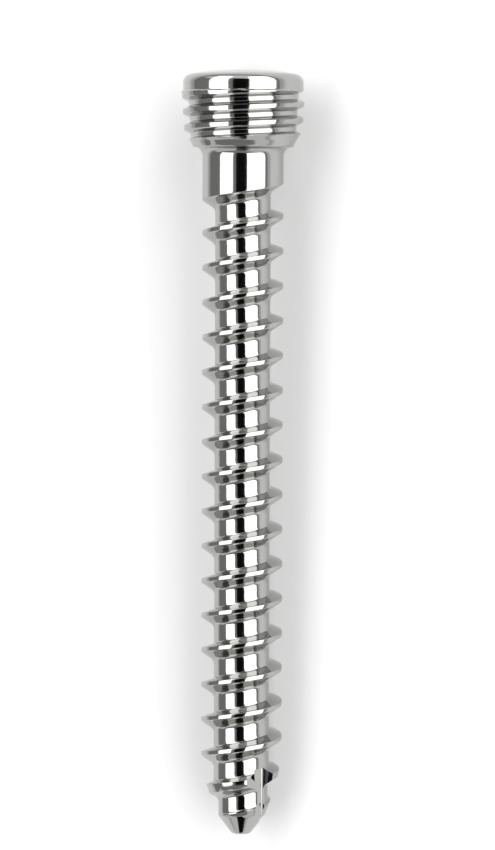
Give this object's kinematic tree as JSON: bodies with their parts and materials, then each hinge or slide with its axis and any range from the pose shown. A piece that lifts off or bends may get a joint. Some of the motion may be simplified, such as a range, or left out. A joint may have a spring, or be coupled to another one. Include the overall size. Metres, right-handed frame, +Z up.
{
  "type": "locking cortical screw",
  "caption": "Locking cortical bone screw: threaded conical head with a hexagon socket, smooth neck, coarse right-hand bone thread and a self-tapping tip.",
  "frame": {"origin": "on the surface that the screw lies on, under the middle of its box", "axes": "+Y towards the head, along the screw as it lies; +Z up; the flute that the picture shows faces +X. The screw's own axis rises about 1.9 degrees from the tip towards the head, because the screw rests on its wide head thread and on the last full ridge of its shaft, rolled to where it lies still"},
  "size_m": [0.0054, 0.033, 0.0053],
  "materials": {
    "steel": "polished stainless steel with fine turning marks"
  },
  "bodies": {
    "root": {"screw": "steel"}
  },
  "joints": []
}
